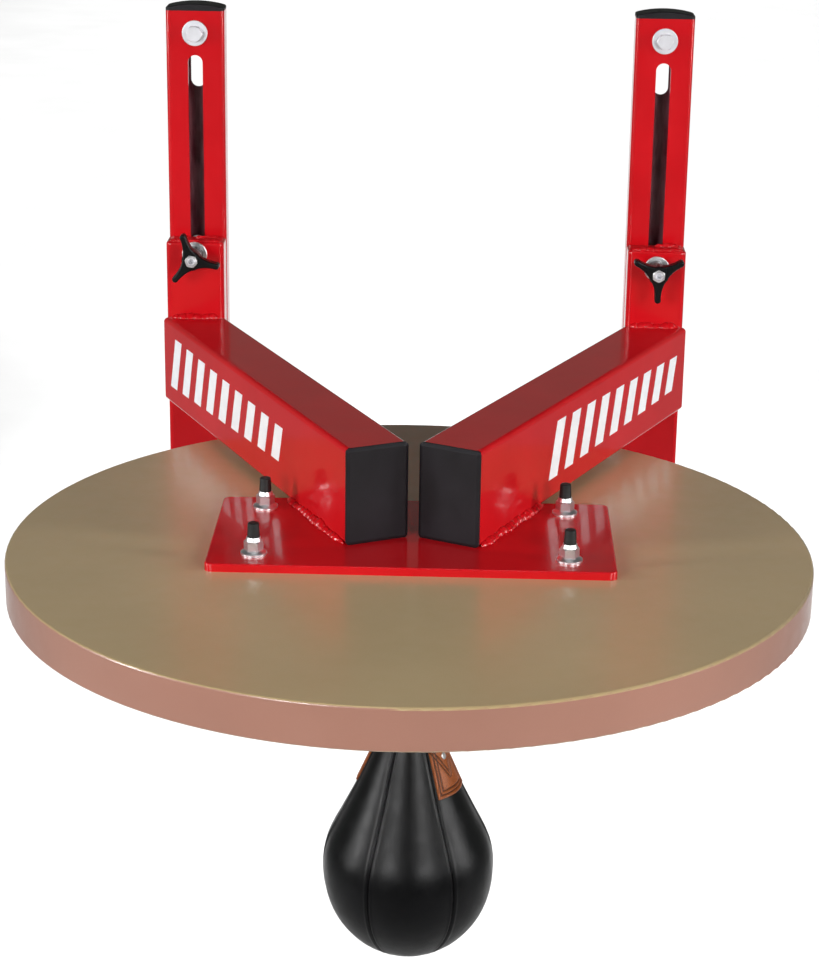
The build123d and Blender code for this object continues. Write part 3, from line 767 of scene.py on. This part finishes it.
def arm_stripes(side):
    """White slanted stripes on an arm's outer face, tallest at the picture's left end."""
    corner, back, normal = arm_side(side, True)
    arm_low, arm_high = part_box(f"{side}_arm")
    middle = (arm_high.z + arm_low.z) / 2 + STRIPE_RAISE
    parts = []
    for number in range(STRIPE_COUNT):
        place = STRIPE_FIRST + number * (STRIPE_WIDTH + STRIPE_GAP)
        rank = number if side == "right" else STRIPE_COUNT - 1 - number
        height = STRIPE_TALL + (STRIPE_SHORT - STRIPE_TALL) * rank / (STRIPE_COUNT - 1)
        lean = STRIPE_SLANT * height * SIDE_SIGN[side]
        outline = []
        for along, level in ((0, -0.5), (1, -0.5), (1, 0.5), (0, 0.5)):
            reach = place + along * STRIPE_WIDTH + lean * level
            point = corner + back * reach
            outline.append(Vector((point.x, point.y, middle + level * height)))
        under = [point + normal * STRIPE_LIFT for point in outline]
        over = [point + normal * STRIPE_FILM for point in outline]
        faces = [(0, 1, 2, 3), (7, 6, 5, 4)]
        faces += [(k, k + 4, (k + 1) % 4 + 4, (k + 1) % 4) for k in range(4)]
        parts.append((over + under, faces))
    points, faces = joined(parts)
    piece = make_piece(f"{side}_arm_stripes", points, faces, "white_vinyl", "platform")
    piece.data.polygons.foreach_set("use_smooth", [False] * len(piece.data.polygons))


def screw_threads():
    """The coarse threads of the four lag screws, behind the wall plane."""
    screws_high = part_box("lag_screws")[1]
    washer_low, washer_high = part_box("lag_washers")
    radius = (washer_high.x - washer_low.x - LAG_SPACING) / 2
    turns = (screws_high.y - THREAD_TIP - 0.001) / THREAD_PITCH
    steps = int(turns * THREAD_STEPS)
    half_width = Vector((0, THREAD_HALF_WIDTH, 0))
    parts = []
    for x in (washer_low.x + radius, washer_high.x - radius):
        for z in (washer_low.z + radius, washer_high.z - radius):
            rings = []
            for i in range(steps + 1):
                turn = 2 * math.pi * i / THREAD_STEPS
                fade = min(1.0, i / THREAD_STEPS, (steps - i) / THREAD_STEPS)
                out = Vector((math.cos(turn), 0, math.sin(turn)))
                place = Vector((x, 0.0006 + THREAD_PITCH * i / THREAD_STEPS, z))
                tall = THREAD_ROOT + (THREAD_CREST - THREAD_ROOT) * max(fade, 0.05)
                rings.append([
                    place + out * THREAD_ROOT - half_width,
                    place + out * tall,
                    place + out * THREAD_ROOT + half_width,
                    place + out * (THREAD_ROOT - 0.0004),
                ])
            parts.append(skin(rings))
    points, faces = joined(parts)
    zinc = "zinc_hardware"
    make_piece("lag_screw_threads", points, faces, zinc, "wall_uprights")


dress_cad_nodes()
bag_cover()
bag_patches()
bag_loop()
bag_collar()
screw_threads()
for side in SIDES:
    weld_beads(side)
    arm_stripes(side)


# ---- Stage, light and camera ---------------------------------------------------------------

def add_floor():
    """A plain pale floor well below the bag."""
    level = cad_bounds[0][2] - FLOOR_DROP
    signs = ((-1, -1), (1, -1), (1, 1), (-1, 1))
    corners = [(x * FLOOR_HALF, y * FLOOR_HALF, level) for x, y in signs]
    mesh = bpy.data.meshes.new("floor")
    mesh.from_pydata(corners, [], [(0, 1, 2, 3)])
    material, tree, shader, where = new_material("floor")
    tone = remap(tree, noise(tree, where, 3, 3), 0, 1)
    colour = blend_colours(tree, tone, (0.62, 0.62, 0.62), (0.66, 0.66, 0.66))
    tree.links.new(colour, shader.inputs["Base Color"])
    shader.inputs["Roughness"].default_value = 0.8
    mesh.materials.append(material)
    floor = bpy.data.objects.new("floor", mesh)
    bpy.context.scene.collection.objects.link(floor)


def add_area_light(name, place, target, width, height, power, spread=math.pi):
    """A soft rectangular light aimed at a point; a smaller spread is a gridded softbox."""
    light = bpy.data.lights.new(name, "AREA")
    light.shape = "RECTANGLE"
    light.size = width
    light.size_y = height
    light.energy = power
    light.spread = spread
    lamp = bpy.data.objects.new(name, light)
    lamp.location = place
    lamp.rotation_euler = (Vector(target) - Vector(place)).to_track_quat("-Z", "Y").to_euler()
    bpy.context.scene.collection.objects.link(lamp)
    return lamp


def add_camera():
    """The camera, placed from the middle of the arms' plate on the drum's top face."""
    low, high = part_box("base_plate")
    plate_foot = Vector(((low.x + high.x) / 2, (low.y + high.y) / 2, low.z))
    yaw, pitch, roll = (math.radians(angle) for angle in CAMERA_ANGLES)
    heading = Vector((math.sin(yaw), math.cos(yaw), 0))
    forward = heading * math.cos(pitch) - Vector((0, 0, math.sin(pitch)))
    level_right = Vector((math.cos(yaw), -math.sin(yaw), 0))
    level_up = level_right.cross(forward)
    right = level_right * math.cos(roll) + level_up * math.sin(roll)
    up = level_up * math.cos(roll) - level_right * math.sin(roll)
    data = bpy.data.cameras.new("camera")
    data.sensor_width = 36.0
    data.lens = CAMERA_LENS
    camera = bpy.data.objects.new("camera", data)
    turn = Matrix((right, up, -forward)).transposed()
    camera.matrix_world = Matrix.Translation(plate_foot + CAMERA_OFFSET) @ turn.to_4x4()
    bpy.context.scene.collection.objects.link(camera)
    bpy.context.scene.camera = camera
    return plate_foot


def add_floor_wash(name, nearest, farthest, width, strength):
    """A lamp just above the floor, which lights the background evenly."""
    level = cad_bounds[0][2] - FLOOR_DROP
    middle = (nearest + farthest) / 2
    power = strength * width * (farthest - nearest)
    place = (0, middle, level + WASH_LIFT)
    target = (0, middle, level)
    wash = add_area_light(name, place, target, width, farthest - nearest, power)
    wash.visible_camera = False


def add_world():
    """A dim studio: grey walls up from the horizon, darker above."""
    world = bpy.data.worlds.new("studio")
    world.use_nodes = True
    tree = world.node_tree
    direction = tree.nodes.new("ShaderNodeTexCoord").outputs["Generated"]
    parts = tree.nodes.new("ShaderNodeSeparateXYZ")
    tree.links.new(direction, parts.inputs["Vector"])
    height = remap(tree, parts.outputs["Z"], 0, 1, 0.30, 0.50)
    colour = blend_colours(tree, height, (0.150, 0.162, 0.146), (0.02, 0.02, 0.02))
    tree.links.new(colour, tree.nodes["Background"].inputs["Color"])
    bpy.context.scene.world = world


add_floor()
aim = add_camera()
add_area_light("key_left", (-1.5, -3.0, 0.76), aim, 0.9, 0.9, 6.9, KEY_SPREAD)
add_area_light("key_right", (1.5, -3.0, 0.76), aim, 0.9, 0.9, 6.9, KEY_SPREAD)
add_area_light("fill_left", (-2.8, -1.1, 0.55), aim, 0.4, 1.5, 47)
add_area_light("fill_right", (2.8, -1.0, 0.55), aim, 0.4, 1.5, 45)
add_area_light("overhead", (0, -1.0, 2.1), aim, 0.7, 0.3, 3)
add_floor_wash("near_wash", 1.0, 4.6, 2.8, 6.2)
add_floor_wash("far_wash", 4.6, 18.0, 7.0, 4.8)
add_floor_wash("surround_wash", -FLOOR_HALF, FLOOR_HALF, 2 * FLOOR_HALF, 0.6)
add_world()
bpy.context.scene.view_settings.view_transform = "Standard"
